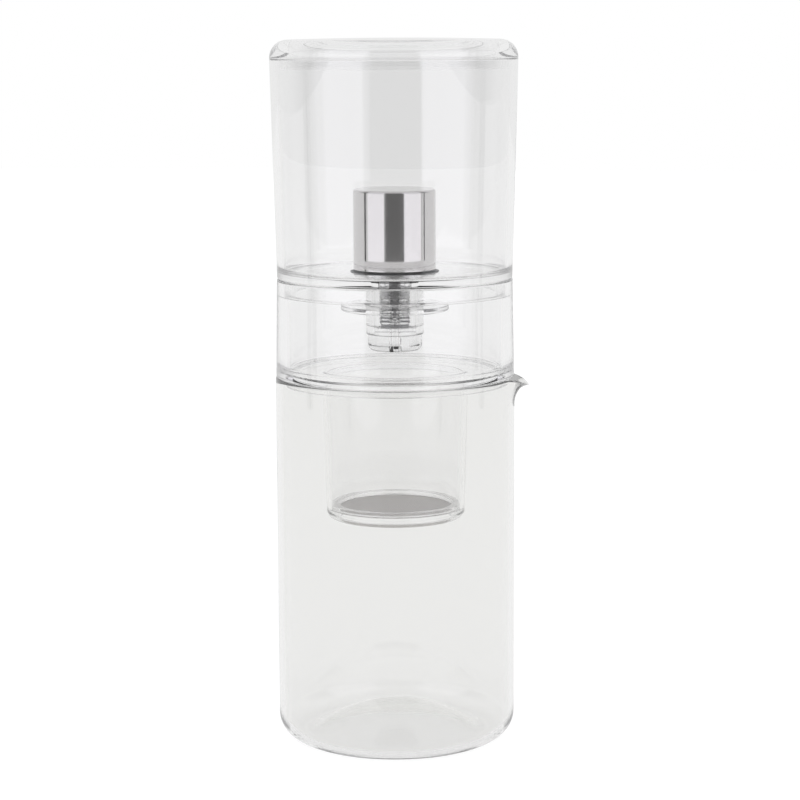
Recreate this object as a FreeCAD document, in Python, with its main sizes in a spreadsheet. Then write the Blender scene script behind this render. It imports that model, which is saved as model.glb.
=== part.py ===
import FreeCAD, Part
import math
import os
import re
import Sketcher

# A cold brew coffee maker, in millimetres. The origin lies on the table under the middle of
# the carafe, +Z is up, and the carafe's spout points along +X.
# From the table up it is a glass carafe, a clear filter unit whose cup hangs into the carafe,
# a clear water tank with a drip valve through its floor, and a lid. The pieces only stand in
# each other, so each one lifts straight off. The steel knob inside the tank sets the drip rate.

Vector = FreeCAD.Vector
doc = FreeCAD.newDocument("ColdBrewMaker")

DIMENSIONS = {
    "carafe": {
        "carafe_radius": 49.5,
        "carafe_height": 152.8,
        "carafe_wall": 2.2,
        "base_round": 10.5,
        "base_inner_round": 8.3,
        "base_thickness": 2.6,
        "foot_ring_width": 1.6,
        "punt_radius": 27.0,
        "punt_rise": 11.0,
        "spout_reach": 8.5,
        "spout_half_width": 12.6,
        "spout_depth": 13.0,
        "spout_tip_radius": 3.4,
        "spout_droop": 3.4,
    },
    "filter unit": {
        "chamber_radius": 49.3,
        "chamber_top_radius": 48.6,
        "chamber_top": 193.5,
        "chamber_bore": 44.2,
        "chamber_round": 4.5,
        "rebate_radius": 45.9,
        "rebate_floor": 186.8,
        "edge_round": 0.8,
        "plug_radius": 46.4,
        "plug_bore": 44.0,
        "plug_depth": 2.9,
        "chamber_floor": 155.1,
        "floor_fall": 1.7,
        "floor_thickness": 2.4,
        "cup_mouth_radius": 30.2,
        "cup_foot_radius": 28.7,
        "cup_wall": 1.8,
        "cup_bottom": 93.6,
        "cup_round": 3.0,
        "cup_lip_round": 1.2,
        "mesh_seat": 97.6,
        "mesh_opening": 23.6,
        "mesh_radius": 26.0,
        "mesh_thickness": 0.4,
        "mesh_ring_radius": 26.7,
        "mesh_ring_bore": 23.4,
        "mesh_ring_height": 1.8,
        "mesh_ring_round": 0.8,
    },
    "water tank": {
        "tank_radius": 50.7,
        "tank_foot_radius": 48.5,
        "tank_top": 282.9,
        "tank_wall": 2.7,
        "tank_floor": 196.2,
        "tank_floor_round": 3.0,
        "tank_plug_radius": 45.5,
        "tank_plug_bore": 42.0,
        "tank_plug_depth": 6.3,
        "tank_plug_round": 0.6,
        "valve_hole": 6.6,
    },
    "lid": {
        "lid_height": 7.6,
        "lid_shoulder": 7.4,
        "lid_crown": 0.8,
        "lid_thickness": 3.2,
        "lid_skirt_radius": 46.7,
        "lid_skirt_bore": 44.0,
        "lid_skirt_depth": 4.0,
        "lid_inner_round": 3.0,
    },
    "drip valve": {
        "gasket_radius": 18.5,
        "gasket_thickness": 0.5,
        "stem_clearance": 0.3,
        "flange_radius": 14.8,
        "flange_thickness": 2.4,
        "tower_radius": 7.4,
        "tower_height": 17.0,
        "tower_chamfer": 1.0,
        "stem_radius": 6.4,
        "stem_bottom": 174.0,
        "thread_pitch": 1.5,
        "thread_depth": 0.6,
        "bore_radius": 2.6,
        "water_way": 4.0,
        "water_way_top": 205.0,
        "seat_height": 182.0,
        "seat_radius": 1.5,
        "seat_taper": 3.0,
        "inlet_radius": 1.3,
        "inlet_height": 202.2,
        "ring_groove_radius": 4.3,
        "ring_groove_height": 209.0,
        "ring_groove_width": 1.8,
        "ring_section": 0.75,
        "washer_radius": 13.0,
        "washer_thickness": 1.0,
        "nut_radius": 11.9,
        "nut_bottom": 170.0,
        "nut_chamfer": 0.6,
        "grip_radius": 22.3,
        "grip_height": 180.0,
        "grip_thickness": 2.2,
        "nozzle_radius": 11.2,
        "nozzle_bottom": 163.2,
        "nozzle_round": 2.6,
        "spigot_radius": 9.0,
        "spigot_top": 173.0,
        "spigot_gap": 0.6,
        "seal_clearance": 0.5,
        "drip_radius": 1.5,
        "drip_funnel": 4.0,
        "drip_funnel_height": 2.0,
        "notch_width": 1.6,
        "notch_depth": 1.3,
        "notch_height": 4.6,
    },
    "knob": {
        "knob_radius": 17.0,
        "knob_height": 33.0,
        "knob_wall": 1.1,
        "knob_edge": 1.0,
        "knob_gap": 0.3,
        "insert_bottom": 217.0,
        "spindle_radius": 2.5,
        "spindle_top": 225.0,
        "spindle_thread_bottom": 205.4,
        "spindle_thread_depth": 0.35,
        "spindle_thread_pitch": 1.0,
        "spindle_neck": 1.6,
        "spindle_collar": 1.0,
        "taper_top": 189.0,
        "needle_radius": 1.4,
        "needle_tip": 176.0,
        "needle_tip_radius": 0.5,
        "fit_gap": 0.05,
    },
}

sheet = doc.addObject("Spreadsheet::Sheet", "Dims")
row = 0
for group, values in DIMENSIONS.items():
    for alias, value in values.items():
        row += 1
        sheet.set(f"A{row}", f"{group}: {alias.replace('_', ' ')}")
        sheet.set(f"B{row}", str(value))
        sheet.setAlias(f"B{row}", alias)
doc.recompute()


def bound(formula):
    """Write a formula of plain dimension names as one that reads them from the sheet."""
    return re.sub(r"\b([a-z]+(?:_[a-z]+)+)\b", r"Dims.\1", str(formula))


def size(formula):
    """The present value of a formula of dimension names."""
    return float(sheet.evalExpression(bound(formula).replace("Dims.", "")))


def origin_plane(body, role):
    return next(f for f in body.Origin.OriginFeatures if f.Role == role)


def new_sketch(body, name, role="XZ_Plane", height=0.0):
    """A sketch on one of the body's origin planes, raised along its normal if asked."""
    sketch = body.newObject("Sketcher::SketchObject", name)
    sketch.AttachmentSupport = [(origin_plane(body, role), "")]
    sketch.MapMode = "FlatFace"
    if height:
        sketch.AttachmentOffset = FreeCAD.Placement(Vector(0, 0, size(height)), FreeCAD.Rotation())
        sketch.setExpression("AttachmentOffset.Base.z", bound(height))
    return sketch


def arc_between(start, end, radius, side):
    """The short arc from start to end; side 1 has its centre left of the way there, -1 right.

    A sketch keeps its arcs anticlockwise, so an arc with its centre on the right is drawn backwards.
    """
    chord = end - start
    middle = (start + end) * 0.5
    rise = math.sqrt(max(radius ** 2 - (chord.Length / 2) ** 2, 0.0))
    left = Vector(-chord.y, chord.x, 0).normalize()
    centre = middle + left * (rise * side)
    bulge = centre - left * (radius * side)
    return Part.Arc(start, bulge, end) if side > 0 else Part.Arc(end, bulge, start)


def outline(sketch, points, arcs=None):
    """A closed outline through points given as pairs of formulas, across and up.

    arcs maps the number of a point to the radius formula of the arc that leaves it, with its side.
    """
    arcs = arcs or {}
    corners = [Vector(size(across), size(up), 0) for across, up in points]
    count = len(corners)
    for n, corner in enumerate(corners):
        following = corners[(n + 1) % count]
        if n in arcs:
            radius, side = arcs[n]
            sketch.addGeometry(arc_between(corner, following, size(radius), side), False)
        else:
            sketch.addGeometry(Part.LineSegment(corner, following), False)
    first_end = {n: 2 if n in arcs and arcs[n][1] < 0 else 1 for n in range(count)}
    for n in range(count):
        following = (n + 1) % count
        sketch.addConstraint(
            Sketcher.Constraint("Coincident", n, 3 - first_end[n], following, first_end[following])
        )
    for n, (across, up) in enumerate(points):
        place_point(sketch, n, first_end[n], across, up, corners[n])
    for n, (radius, side) in arcs.items():
        number = sketch.addConstraint(Sketcher.Constraint("Radius", n, size(radius)))
        sketch.setExpression(f"Constraints[{number}]", bound(radius))


def place_point(sketch, edge, end, across, up, corner):
    """Bind one end of an edge to its two formulas."""
    if corner.x == 0:
        sketch.addConstraint(Sketcher.Constraint("PointOnObject", edge, end, -2))
    else:
        number = sketch.addConstraint(Sketcher.Constraint("DistanceX", -1, 1, edge, end, corner.x))
        sketch.setExpression(f"Constraints[{number}]", bound(across))
    if corner.y == 0:
        sketch.addConstraint(Sketcher.Constraint("PointOnObject", edge, end, -1))
    else:
        number = sketch.addConstraint(Sketcher.Constraint("DistanceY", -1, 1, edge, end, corner.y))
        sketch.setExpression(f"Constraints[{number}]", bound(up))


def new_body(label):
    body = doc.addObject("PartDesign::Body", "Body_" + label)
    body.Label = label
    body.Placement = FreeCAD.Placement()
    return body


def turned(label, points, arcs=None):
    """A piece turned about the Z axis from its half section."""
    body = new_body(label)
    turn(body, "PartDesign::Revolution", label + "_section", points, arcs)
    return body


def turn(body, kind, name, points, arcs=None):
    """Add (Revolution) or take away (Groove) a turned form."""
    sketch = new_sketch(body, name)
    outline(sketch, points, arcs)
    doc.recompute()
    feature = body.newObject(kind, name + "_turn")
    feature.Profile = sketch
    feature.ReferenceAxis = (sketch, ["V_Axis"])
    feature.Angle = 360
    doc.recompute()
    return feature


def must_shrink(body, before, what):
    """Stop when a cut has taken nothing away."""
    if body.Shape.Volume > before - 1e-3:
        raise RuntimeError(f"{what} removed nothing")


def circle_sketch(body, name, role, across, up, radius):
    """A sketch with one circle, placed and sized by formulas."""
    sketch = new_sketch(body, name, role)
    centre = Vector(size(across), size(up), 0)
    sketch.addGeometry(Part.Circle(centre, Vector(0, 0, 1), size(radius)), False)
    place_point(sketch, 0, 3, across, up, centre)
    number = sketch.addConstraint(Sketcher.Constraint("Radius", 0, size(radius)))
    sketch.setExpression(f"Constraints[{number}]", bound(radius))
    return sketch


def cut_through(body, sketch, name):
    """Cut a sketch right through the body, both ways from its plane."""
    before = body.Shape.Volume
    pocket = body.newObject("PartDesign::Pocket", name)
    pocket.Profile = sketch
    pocket.Type = 1
    pocket.Midplane = True
    doc.recompute()
    must_shrink(body, before, name)
    return pocket


def repeat_about_axis(body, feature, name, count, angle=360.0):
    """Repeat a feature about the Z axis."""
    pattern = body.newObject("PartDesign::PolarPattern", name)
    pattern.Originals = [feature]
    pattern.Axis = (origin_plane(body, "Z_Axis"), [""])
    pattern.Angle = angle
    pattern.Occurrences = count
    body.Tip = pattern
    doc.recompute()
    return pattern


def thread_section(crest, depth, top, bottom, pitch):
    """The zigzag of a thread's half section, from its top to its bottom, as formulas."""
    turns = int((size(top) - size(bottom)) / size(pitch))
    points = []
    for n in range(turns):
        points.append((f"{crest} - {depth}", f"{top} - {n} * {pitch}"))
        points.append((crest, f"{top} - {n + 0.35} * {pitch}"))
        points.append((crest, f"{top} - {n + 0.65} * {pitch}"))
    points.append((f"{crest} - {depth}", f"{top} - {turns} * {pitch}"))
    return points


# Carafe: a straight glass cylinder with a rounded foot, a pushed-up base and a drawn spout.

def spout_section(body, name, height, reach, half_width, tip_radius, root):
    """One level of the spout: a rounded nose on +X that runs back into the glass wall."""
    sketch = new_sketch(body, name, "XY_Plane", height)
    tip_x = f"({reach}) - ({tip_radius})"
    outline(
        sketch,
        [
            (root, f"-({half_width})"),
            (tip_x, f"-({tip_radius})"),
            (tip_x, tip_radius),
            (root, half_width),
        ],
        {1: (f"({tip_radius}) * 1.0001", 1)},
    )
    return sketch


def spout_form(body, kind, name, inset):
    """The spout's outside, or with an inset its inside, flaring from the wall up to the rim.

    Each level gives how far down it lies as a share of the spout's depth, then its reach beyond
    the wall and its half width as shares of those at the rim.
    """
    levels = [(1.0, 0.0, 0.42), (0.45, 0.4, 0.72), (0.0, 1.0, 1.0)]
    sketches = []
    for n, (down, out, width) in enumerate(levels):
        reach = f"carafe_radius - {inset} + {out} * spout_reach"
        half_width = f"{width} * spout_half_width - {inset} * 0.8"
        tip_radius = f"{width} * spout_tip_radius - {inset} * 0.5"
        height = f"carafe_height - {down} * spout_depth"
        root = "carafe_radius - carafe_wall * 2"
        sketches.append(spout_section(body, f"{name}_{n}", height, reach, half_width, tip_radius, root))
    doc.recompute()
    loft = body.newObject(kind, name)
    loft.Profile = sketches[0]
    loft.Sections = sketches[1:]
    loft.Ruled = False
    doc.recompute()
    return loft


def make_carafe():
    body = turned(
        "carafe",
        [
            (0, "punt_rise"),
            ("punt_radius / 2", "punt_rise * 0.93"),
            ("punt_radius", "punt_rise / 2"),
            ("carafe_radius - base_round - foot_ring_width", 0),
            ("carafe_radius - base_round", 0),
            ("carafe_radius", "base_round"),
            ("carafe_radius", "carafe_height"),
            (0, "carafe_height"),
        ],
        {4: ("base_round", 1)},
    )
    spout_form(body, "PartDesign::AdditiveLoft", "spout_outside", "0")
    before = body.Shape.Volume
    turn(
        body,
        "PartDesign::Groove",
        "carafe_inside",
        [
            (0, "punt_rise + base_thickness"),
            ("punt_radius / 2", "punt_rise * 0.93 + base_thickness"),
            ("punt_radius", "punt_rise / 2 + base_thickness"),
            ("carafe_radius - carafe_wall - base_inner_round", "base_thickness"),
            ("carafe_radius - carafe_wall", "base_thickness + base_inner_round"),
            ("carafe_radius - carafe_wall", "carafe_height + 1"),
            (0, "carafe_height + 1"),
        ],
        {3: ("base_inner_round", 1)},
    )
    must_shrink(body, before, "carafe_inside")
    before = body.Shape.Volume
    spout_form(body, "PartDesign::SubtractiveLoft", "spout_inside", "carafe_wall")
    must_shrink(body, before, "spout_inside")
    slope = new_sketch(body, "lip_slope")
    outline(
        slope,
        [
            ("carafe_radius - 1", "carafe_height"),
            ("carafe_radius + spout_reach + 1", "carafe_height - spout_droop * 1.25"),
            ("carafe_radius + spout_reach + 1", "carafe_height + 2"),
            ("carafe_radius - 1", "carafe_height + 2"),
        ],
    )
    cut_through(body, slope, "lip_slope_cut")


# Filter unit: one clear moulding with the drip chamber above and the coffee cup hanging below.

def make_filter_holder():
    mouth_height = "chamber_floor - floor_fall"
    turned(
        "filter_holder",
        [
            ("chamber_bore - chamber_round", "chamber_floor"),
            ("chamber_bore", "chamber_floor + chamber_round"),
            ("chamber_bore", "rebate_floor"),
            ("rebate_radius", "rebate_floor"),
            ("rebate_radius", "chamber_top"),
            ("chamber_top_radius - edge_round", "chamber_top"),
            ("chamber_top_radius", "chamber_top - edge_round"),
            ("chamber_radius", "carafe_height + edge_round"),
            ("chamber_radius - edge_round", "carafe_height"),
            ("plug_radius", "carafe_height"),
            ("plug_radius", "carafe_height - plug_depth"),
            ("plug_bore", "carafe_height - plug_depth"),
            ("plug_bore", "chamber_floor - floor_thickness - floor_fall * 0.2"),
            ("cup_mouth_radius", "chamber_floor - floor_thickness - floor_fall"),
            ("cup_foot_radius", "cup_bottom + cup_round"),
            ("cup_foot_radius - cup_round", "cup_bottom"),
            ("mesh_opening", "cup_bottom"),
            ("mesh_opening", "mesh_seat"),
            ("cup_foot_radius - cup_wall", "mesh_seat"),
            ("cup_mouth_radius - cup_wall", f"{mouth_height} - cup_lip_round"),
            ("cup_mouth_radius - cup_wall + cup_lip_round", mouth_height),
        ],
        {
            0: ("chamber_round", 1),
            5: ("edge_round", -1),
            7: ("edge_round", -1),
            14: ("cup_round", -1),
            19: ("cup_lip_round", -1),
        },
    )


def make_filter_mesh():
    turned(
        "filter_mesh",
        [
            (0, "mesh_seat"),
            ("mesh_radius", "mesh_seat"),
            ("mesh_radius", "mesh_seat + mesh_thickness"),
            (0, "mesh_seat + mesh_thickness"),
        ],
    )


def make_mesh_ring():
    ring_base = "mesh_seat + mesh_thickness"
    turned(
        "mesh_ring",
        [
            ("mesh_ring_bore", ring_base),
            ("mesh_ring_radius", ring_base),
            ("mesh_ring_radius", f"{ring_base} + mesh_ring_height"),
            ("mesh_ring_bore + mesh_ring_round", f"{ring_base} + mesh_ring_height"),
            ("mesh_ring_bore", f"{ring_base} + mesh_ring_height - mesh_ring_round"),
        ],
        {3: ("mesh_ring_round", 1)},
    )


# Water tank: drafted clear walls on a thick floor, with a ring below that plugs the chamber.

def make_water_tank():
    underside = "chamber_top"
    turned(
        "water_tank",
        [
            ("valve_hole", underside),
            ("tank_plug_bore", underside),
            ("tank_plug_bore", f"{underside} - tank_plug_depth + tank_plug_round"),
            ("tank_plug_bore + tank_plug_round", f"{underside} - tank_plug_depth"),
            ("tank_plug_radius - tank_plug_round", f"{underside} - tank_plug_depth"),
            ("tank_plug_radius", f"{underside} - tank_plug_depth + tank_plug_round"),
            ("tank_plug_radius", underside),
            ("tank_foot_radius - edge_round", underside),
            ("tank_foot_radius", f"{underside} + edge_round"),
            ("tank_radius", "tank_top"),
            ("tank_radius - tank_wall", "tank_top"),
            ("tank_foot_radius - tank_wall", "tank_floor + tank_floor_round"),
            ("tank_foot_radius - tank_wall - tank_floor_round", "tank_floor"),
            ("valve_hole", "tank_floor"),
        ],
        {
            2: ("tank_plug_round", 1),
            4: ("tank_plug_round", 1),
            7: ("edge_round", 1),
            11: ("tank_floor_round", -1),
        },
    )


# Lid: a shallow dome with a full round shoulder, and a skirt that drops inside the tank's mouth.

def make_lid():
    joint = "tank_top"
    inner_top = f"{joint} + lid_height - lid_thickness"
    turned(
        "lid",
        [
            (0, f"{joint} + lid_height + lid_crown"),
            (0, f"{inner_top} + lid_crown"),
            ("lid_skirt_bore - lid_inner_round", inner_top),
            ("lid_skirt_bore", f"{inner_top} - lid_inner_round"),
            ("lid_skirt_bore", f"{joint} - lid_skirt_depth"),
            ("lid_skirt_radius", f"{joint} - lid_skirt_depth"),
            ("lid_skirt_radius", joint),
            ("tank_radius", joint),
            ("tank_radius", f"{joint} + lid_height - lid_shoulder"),
            ("tank_radius - lid_shoulder", f"{joint} + lid_height"),
        ],
        {2: ("lid_inner_round", -1), 8: ("lid_shoulder", 1)},
    )


# Drip valve: its clear body is clamped through the tank's floor by the sleeve nut below.

def make_valve_gasket():
    turned(
        "valve_gasket",
        [
            ("stem_radius + stem_clearance", "tank_floor"),
            ("gasket_radius", "tank_floor"),
            ("gasket_radius", "tank_floor + gasket_thickness"),
            ("stem_radius + stem_clearance", "tank_floor + gasket_thickness"),
        ],
    )


def make_valve_body():
    flange_base = "tank_floor + gasket_thickness"
    tower_base = f"{flange_base} + flange_thickness"
    tower_top = f"{flange_base} + tower_height"
    thread_top = "chamber_top - washer_thickness"
    section = [
        ("seat_radius", "stem_bottom"),
        ("seat_radius", "seat_height"),
        ("water_way", "seat_height + seat_taper"),
        ("water_way", "water_way_top"),
        ("bore_radius", "water_way_top"),
        ("bore_radius", "ring_groove_height"),
        ("ring_groove_radius", "ring_groove_height"),
        ("ring_groove_radius", "ring_groove_height + ring_groove_width"),
        ("bore_radius", "ring_groove_height + ring_groove_width"),
        ("bore_radius", tower_top),
        ("tower_radius - tower_chamfer", tower_top),
        ("tower_radius", f"{tower_top} - tower_chamfer"),
        ("tower_radius", tower_base),
        ("flange_radius", tower_base),
        ("flange_radius", flange_base),
        ("stem_radius", flange_base),
        ("stem_radius", thread_top),
    ]
    section += thread_section("stem_radius", "thread_depth", thread_top, "stem_bottom", "thread_pitch")
    section.append(("stem_radius - thread_depth", "stem_bottom"))
    body = turned("valve_body", section)
    inlet = circle_sketch(body, "water_inlet", "XZ_Plane", 0, "inlet_height", "inlet_radius")
    doc.recompute()
    cut = cut_through(body, inlet, "water_inlet_cut")
    before = body.Shape.Volume
    repeat_about_axis(body, cut, "water_inlets", 2, 90.0)
    must_shrink(body, before, "water_inlets")


def make_spindle_ring():
    """The small O-ring in the valve body's groove, round the spindle."""
    ring = doc.addObject("Part::Torus", "Ring_spindle_ring")
    ring.Label = "spindle_ring"
    ring.setExpression("Radius1", bound("spindle_radius + ring_section + 2 * fit_gap"))
    ring.setExpression("Radius2", bound("ring_section"))
    ring.Placement = FreeCAD.Placement()
    ring.setExpression("Placement.Base.z", bound("ring_groove_height + ring_groove_width / 2"))


def make_nut_washer():
    turned(
        "nut_washer",
        [
            ("stem_radius + stem_clearance", "chamber_top - washer_thickness"),
            ("washer_radius", "chamber_top - washer_thickness"),
            ("washer_radius", "chamber_top"),
            ("stem_radius + stem_clearance", "chamber_top"),
        ],
    )


def make_valve_nut():
    """A long sleeve nut with a round grip flange at half height."""
    top = "chamber_top - washer_thickness"
    grip_top = "grip_height + grip_thickness"
    turned(
        "valve_nut",
        [
            ("stem_radius + fit_gap", "spigot_top + spigot_gap"),
            ("stem_radius + fit_gap", top),
            ("nut_radius - nut_chamfer", top),
            ("nut_radius", f"{top} - nut_chamfer"),
            ("nut_radius", grip_top),
            ("grip_radius - grip_thickness / 4", grip_top),
            ("grip_radius - grip_thickness / 4", "grip_height"),
            ("nut_radius", "grip_height"),
            ("nut_radius", "nut_bottom"),
            ("spigot_radius + fit_gap", "nut_bottom"),
            ("spigot_radius + fit_gap", "spigot_top + spigot_gap"),
        ],
        {5: ("grip_thickness * 0.6", -1)},
    )


def make_nozzle_seal():
    turned(
        "nozzle_seal",
        [
            ("seat_radius + seal_clearance", "spigot_top"),
            ("stem_radius - thread_depth", "spigot_top"),
            ("stem_radius - thread_depth", "stem_bottom"),
            ("seat_radius + seal_clearance", "stem_bottom"),
        ],
    )


def make_drip_nozzle():
    body = turned(
        "drip_nozzle",
        [
            ("drip_radius", "nozzle_bottom + drip_funnel_height"),
            ("drip_radius", "spigot_top"),
            ("spigot_radius", "spigot_top"),
            ("spigot_radius", "nut_bottom"),
            ("nozzle_radius", "nut_bottom"),
            ("nozzle_radius", "nozzle_bottom + nozzle_round"),
            ("nozzle_radius - nozzle_round", "nozzle_bottom"),
            ("drip_funnel", "nozzle_bottom"),
        ],
        {5: ("nozzle_round", -1)},
    )
    notch = new_sketch(body, "grip_notch", "XY_Plane", "nozzle_bottom - 1")
    outline(
        notch,
        [
            ("nozzle_radius - notch_depth", "-(notch_width) / 2"),
            ("nozzle_radius + 1", "-(notch_width) / 2"),
            ("nozzle_radius + 1", "notch_width / 2"),
            ("nozzle_radius - notch_depth", "notch_width / 2"),
        ],
    )
    doc.recompute()
    before = body.Shape.Volume
    pocket = body.newObject("PartDesign::Pocket", "grip_notch_cut")
    pocket.Profile = notch
    pocket.Type = 0
    pocket.Reversed = True
    pocket.setExpression("Length", bound("notch_height + 1"))
    doc.recompute()
    must_shrink(body, before, "grip_notch_cut")
    repeat_about_axis(body, pocket, "grip_notches", 4)


# Knob: a polished steel cap on a moulded insert that grips the top of the needle spindle.

def make_valve_knob():
    base = "tank_floor + gasket_thickness + knob_gap"
    top = f"{base} + knob_height"
    turned(
        "valve_knob",
        [
            ("knob_radius - knob_wall", base),
            ("knob_radius", base),
            ("knob_radius", f"{top} - knob_edge"),
            ("knob_radius - knob_edge", top),
            (0, top),
            (0, f"{top} - knob_wall"),
            ("knob_radius - knob_wall", f"{top} - knob_wall"),
        ],
        {2: ("knob_edge", 1)},
    )


def make_knob_insert():
    top = "tank_floor + gasket_thickness + knob_gap + knob_height - knob_wall"
    turned(
        "knob_insert",
        [
            ("spindle_radius + fit_gap", "insert_bottom"),
            ("knob_radius - knob_wall - fit_gap", "insert_bottom"),
            ("knob_radius - knob_wall - fit_gap", top),
            (0, top),
            (0, "spindle_top + fit_gap"),
            ("spindle_radius + fit_gap", "spindle_top + fit_gap"),
        ],
    )


def make_needle_spindle():
    thread_top = "insert_bottom - spindle_neck"
    section = [
        (0, "needle_tip"),
        ("needle_tip_radius", "needle_tip"),
        ("needle_radius", "seat_height"),
        ("spindle_radius", "taper_top"),
        ("spindle_radius", "spindle_thread_bottom - spindle_thread_pitch / 2"),
    ]
    section += reversed(
        thread_section(
            "spindle_radius", "spindle_thread_depth", thread_top, "spindle_thread_bottom", "spindle_thread_pitch"
        )
    )
    section += [
        ("spindle_radius", "insert_bottom - spindle_collar"),
        ("spindle_radius", "spindle_top"),
        (0, "spindle_top"),
    ]
    turned("needle_spindle", section)


make_carafe()
make_filter_holder()
make_filter_mesh()
make_mesh_ring()
make_water_tank()
make_lid()
make_valve_gasket()
make_valve_body()
make_spindle_ring()
make_nut_washer()
make_valve_nut()
make_nozzle_seal()
make_drip_nozzle()
make_valve_knob()
make_knob_insert()
make_needle_spindle()
doc.recompute()

for item in doc.Objects:
    if "Invalid" in item.State or "Error" in item.State:
        raise RuntimeError(f"{item.Label} failed: {item.State}")

pieces = [item for item in doc.Objects if item.isDerivedFrom("PartDesign::Body") or item.TypeId == "Part::Torus"]
for piece in pieces:
    if piece.Shape.isNull() or not piece.Shape.isValid():
        raise RuntimeError(f"{piece.Label} has no valid shape")

os.makedirs("parts", exist_ok=True)
for piece in pieces:
    piece.Shape.exportStep(f"parts/{piece.Label}.step")
    box = piece.Shape.BoundBox
    print(
        f"{piece.Label}: {len(piece.Shape.Solids)} solid, {piece.Shape.Volume / 1000:.2f} ml, "
        f"x {box.XMin:.2f}..{box.XMax:.2f}, z {box.ZMin:.2f}..{box.ZMax:.2f}"
    )
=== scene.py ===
# %% [markdown]
# # A cold brew coffee maker, dressed in Blender
#
# The maker is a tower of four clear pieces that only stand in each other: a glass carafe, a
# filter unit, a water tank and a lid. Inside the tank a polished steel knob opens a drip valve.
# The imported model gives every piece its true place. This script redraws the clear pieces as fine
# turned meshes, because glass shows every facet, and gives each piece the finish of what it is.

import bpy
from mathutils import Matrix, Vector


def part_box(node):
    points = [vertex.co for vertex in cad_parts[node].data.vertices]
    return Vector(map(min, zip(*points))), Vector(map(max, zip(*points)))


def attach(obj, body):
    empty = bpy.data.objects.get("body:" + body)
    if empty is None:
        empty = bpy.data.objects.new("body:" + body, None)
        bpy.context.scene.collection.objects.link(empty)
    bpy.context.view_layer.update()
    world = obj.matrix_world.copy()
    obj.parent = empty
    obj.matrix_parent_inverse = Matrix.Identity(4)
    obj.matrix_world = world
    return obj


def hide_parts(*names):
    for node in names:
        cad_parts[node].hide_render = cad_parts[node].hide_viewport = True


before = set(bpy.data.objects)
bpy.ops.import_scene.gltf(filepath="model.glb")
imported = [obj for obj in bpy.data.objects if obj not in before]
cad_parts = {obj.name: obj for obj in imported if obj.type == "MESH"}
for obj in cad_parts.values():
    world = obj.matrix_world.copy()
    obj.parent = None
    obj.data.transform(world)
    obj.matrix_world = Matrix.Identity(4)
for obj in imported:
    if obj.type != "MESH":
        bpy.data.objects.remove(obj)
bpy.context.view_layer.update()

import math

import bpy
from mathutils import Matrix, Vector

MM = 0.001
print("nodes:", sorted(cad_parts))

# %% [markdown]
# ## Colours and nodes
#
# Colours are picked as sRGB hex values, the way a colour picker shows them. Blender's shaders
# work in linear light, so one function turns the one into the other. A second small function adds
# a node with its settings and its links, so that each material reads as a short list.

# %% Colour conversion and the node helper
def linear(hex_colour):
    """An sRGB hex colour such as C8C9CA as the linear RGBA that shaders read."""
    channels = [int(hex_colour[n:n + 2], 16) / 255 for n in (0, 2, 4)]
    return [c / 12.92 if c <= 0.04045 else ((c + 0.055) / 1.055) ** 2.4 for c in channels] + [1.0]


def add(tree, kind, settings=None, values=None, links=None):
    """Add one node: its settings are attributes, its values and links go to its input sockets."""
    node = tree.nodes.new(kind)
    for name, value in (settings or {}).items():
        setattr(node, name, value)
    for name, value in (values or {}).items():
        node.inputs[name].default_value = value
    for name, source in (links or {}).items():
        tree.links.new(source, node.inputs[name])
    return node


def new_material(name):
    """An empty node material with its output node."""
    material = bpy.data.materials.new(name)
    material.use_nodes = True
    material.node_tree.nodes.clear()
    output = add(material.node_tree, "ShaderNodeOutputMaterial")
    return material, material.node_tree, output


print("mid grey 808080 is linear", round(linear("808080")[0], 3))

# %% [markdown]
# ## Clear pieces: borosilicate glass and copolyester
#
# The carafe is blown borosilicate glass: hard, thin and very clear, with a slow ripple left by
# the blowing. The other clear pieces are moulded copolyester, a tough plastic that is as clear as
# glass and nearly without a tint. Both are one dielectric shader.
#
# Two kinds of ray get a shortcut. A shadow ray goes straight through, only a little weakened, which
# keeps the inside clean of the noise that focused light makes. Light can also be caught between the
# two faces of a wall, as in an optical fibre. A ray that has bounced too often counts as caught: it
# goes straight on, and each face that it meets from then on lets half of it through.

# %% The clear material
SMUDGE_MM = 35  # the width of the faint smudges that hands leave
LONGEST_WAY = 24  # bounces over a ray's whole path, before it counts as caught
LEAVING_TINT = "BCBCBC"  # half of the light, at each face
SHADOW_TINT = "F0F0F2"  # most of the light, at each face


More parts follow.
